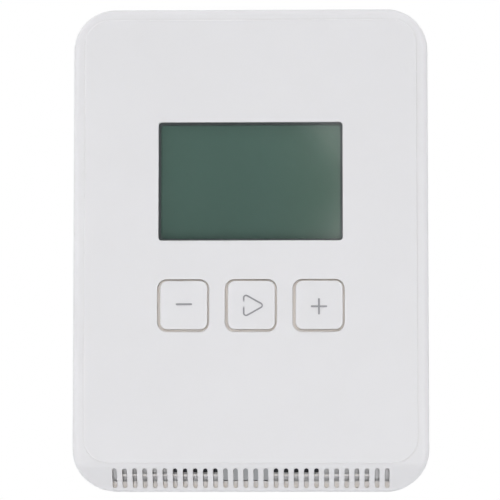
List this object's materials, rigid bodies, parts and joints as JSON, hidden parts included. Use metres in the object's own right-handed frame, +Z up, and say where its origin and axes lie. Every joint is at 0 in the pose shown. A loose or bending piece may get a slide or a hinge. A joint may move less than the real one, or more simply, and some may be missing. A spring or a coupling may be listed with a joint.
{
  "type": "wall thermostat",
  "caption": "White wall thermostat with a blank display window, square keys in a row, air slots along a sloped lower edge, and a hinged cover over a wired circuit board.",
  "frame": {"origin": "middle of the back face, on the wall, halfway between the two wall screw slots", "axes": "+Z up the wall, +X to the right as seen from the room, +Y into the wall"},
  "size_m": [0.086, 0.0256, 0.117],
  "materials": {
    "case_plastic": "white ABS, moulded with a fine matt texture",
    "key_plastic": "white ABS, moulded smooth, with grey printed marks",
    "clear_lens": "clear polycarbonate, polished",
    "gasket_foam": "dark grey foam",
    "grommet_rubber": "black moulded rubber",
    "retainer_plastic": "grey moulded ABS",
    "polariser_film": "grey-green polarising film",
    "display_glass": "thin float glass",
    "guide_acrylic": "clear acrylic, frosted at the back",
    "strip_rubber": "silicone rubber with dark contact layers",
    "lamp_plastic": "lamp body with yellow phosphor",
    "holder_plastic": "black moulded plastic",
    "board_laminate": "glass-fibre board with green lacquer",
    "switch_plastic": "black moulded plastic",
    "plunger_plastic": "brown moulded plastic",
    "plated_steel": "bright zinc plate",
    "coated_steel": "steel with a light grey powder coat",
    "dark_steel": "blackened steel",
    "spring_steel": "stainless spring steel",
    "terminal_plastic": "green moulded polyamide",
    "clamp_brass": "plated brass",
    "relay_plastic": "black moulded polyester",
    "chip_epoxy": "black moulded epoxy with tinned pins",
    "can_metal": "drawn nickel can",
    "fuse_plastic": "brown-red moulded plastic",
    "capacitor_sleeve": "dark blue shrink sleeve",
    "sensor_epoxy": "black moulded epoxy"
  },
  "bodies": {
    "back_shell": {"wall_plate": "case_plastic", "entry_grommets": "grommet_rubber", "lug_shield": "coated_steel", "circuit_board": "board_laminate", "board_screws": "plated_steel", "display_holder": "holder_plastic", "front_polariser": "polariser_film", "front_glass": "display_glass", "rear_glass": "display_glass", "rear_polariser": "polariser_film", "light_guide": "guide_acrylic", "upper_contact_strip": "strip_rubber", "lower_contact_strip": "strip_rubber", "guide_lamps": "lamp_plastic", "switch_bodies": "switch_plastic", "switch_plates": "plated_steel", "minus_switch_dome": "spring_steel", "arrow_switch_dome": "spring_steel", "plus_switch_dome": "spring_steel", "terminal_housing": "terminal_plastic", "terminal_clamps": "clamp_brass", "terminal_screws": "plated_steel", "heating_relay": "relay_plastic", "cooling_relay": "relay_plastic", "fan_relay": "relay_plastic", "controller_chip": "chip_epoxy", "driver_chip": "chip_epoxy", "crystal": "can_metal", "voltage_regulator": "chip_epoxy", "bridge_rectifier": "chip_epoxy", "input_fuse": "fuse_plastic", "smoothing_capacitor": "capacitor_sleeve", "temperature_sensor": "sensor_epoxy"},
    "cover": {"front_cover": "case_plastic", "display_lens": "clear_lens", "display_gasket": "gasket_foam", "key_retainer": "retainer_plastic"},
    "minus_key": {"minus_key": "key_plastic"},
    "minus_plunger": {"minus_switch_plunger": "plunger_plastic"},
    "arrow_key": {"arrow_key": "key_plastic"},
    "arrow_plunger": {"arrow_switch_plunger": "plunger_plastic"},
    "plus_key": {"plus_key": "key_plastic"},
    "plus_plunger": {"plus_switch_plunger": "plunger_plastic"},
    "lock_screw": {"lock_screw": "dark_steel"}
  },
  "joints": [
    {"name": "cover_swing", "type": "hinge", "parent": "back_shell", "child": "cover", "pos_m": [0, -0.009, 0.0542], "axis": [-1, 0, 0], "range_deg": [0, 30]},
    {"name": "minus_press", "type": "slide", "parent": "cover", "child": "minus_key", "axis": [0, 1, 0], "range_m": [0, 0.0005], "stiffness_N_per_m": 2000, "springref_m": -0.0003},
    {"name": "minus_plunger_press", "type": "slide", "parent": "back_shell", "child": "minus_plunger", "axis": [0, 1, 0], "range_m": [0, 0.0005], "deforming": ["minus_switch_dome"]},
    {"name": "arrow_press", "type": "slide", "parent": "cover", "child": "arrow_key", "axis": [0, 1, 0], "range_m": [0, 0.0005], "stiffness_N_per_m": 2000, "springref_m": -0.0003},
    {"name": "arrow_plunger_press", "type": "slide", "parent": "back_shell", "child": "arrow_plunger", "axis": [0, 1, 0], "range_m": [0, 0.0005], "deforming": ["arrow_switch_dome"]},
    {"name": "plus_press", "type": "slide", "parent": "cover", "child": "plus_key", "axis": [0, 1, 0], "range_m": [0, 0.0005], "stiffness_N_per_m": 2000, "springref_m": -0.0003},
    {"name": "plus_plunger_press", "type": "slide", "parent": "back_shell", "child": "plus_plunger", "axis": [0, 1, 0], "range_m": [0, 0.0005], "deforming": ["plus_switch_dome"]},
    {"name": "lock_screw_travel", "type": "slide", "parent": "back_shell", "child": "lock_screw", "axis": [0, 0, -1], "range_m": [0, 0.0026]}
  ],
  "couplings": [
    {"joint": "minus_plunger_press", "follows": "minus_press", "ratio": 1},
    {"joint": "arrow_plunger_press", "follows": "arrow_press", "ratio": 1},
    {"joint": "plus_plunger_press", "follows": "plus_press", "ratio": 1}
  ]
}
